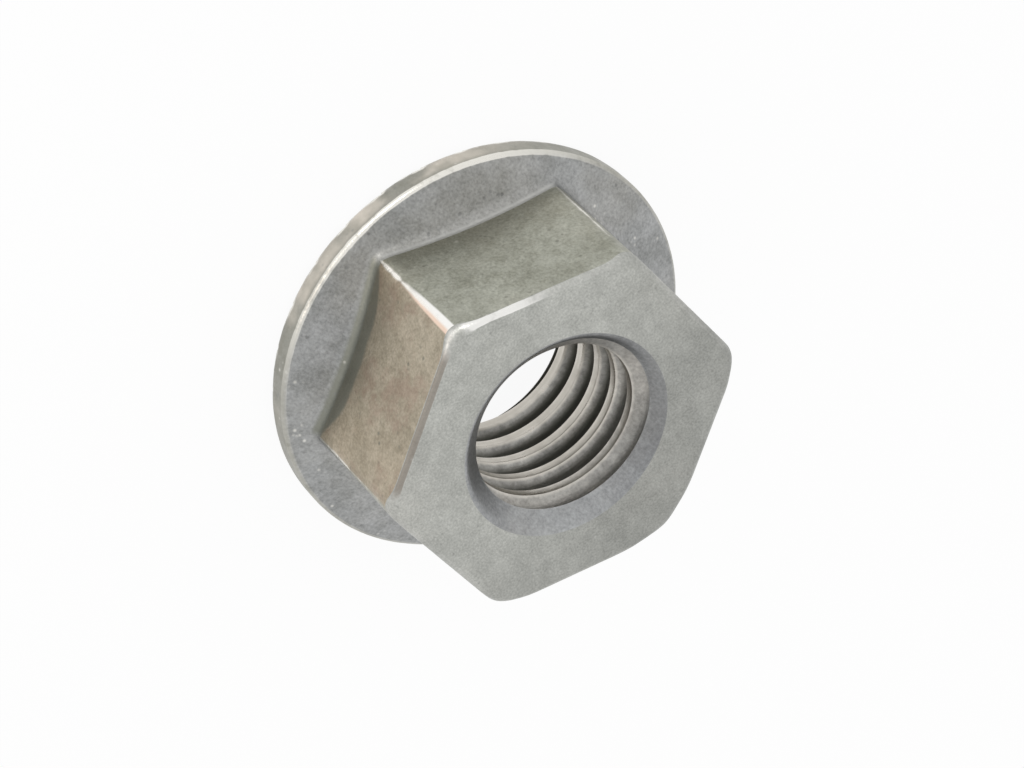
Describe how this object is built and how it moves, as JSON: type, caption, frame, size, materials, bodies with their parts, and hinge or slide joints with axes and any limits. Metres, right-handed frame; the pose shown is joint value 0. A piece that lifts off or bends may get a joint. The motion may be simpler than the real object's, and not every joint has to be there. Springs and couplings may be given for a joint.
{
  "type": "serrated flange nut",
  "caption": "Hexagon nut with a conical flange, a ratchet-serrated bearing face and a countersunk right-hand threaded bore.",
  "frame": {"origin": "centre of the bearing face, on the plane of the serrations' lands", "axes": "+Z along the nut's axis from the bearing face to the hexagon's end, +X through a corner of the hexagon"},
  "size_m": [0.017, 0.017, 0.0077],
  "materials": {
    "plain_steel": "matt cold-forged plain steel, faintly mottled"
  },
  "bodies": {
    "root": {"flange_nut": "plain_steel"}
  },
  "joints": []
}
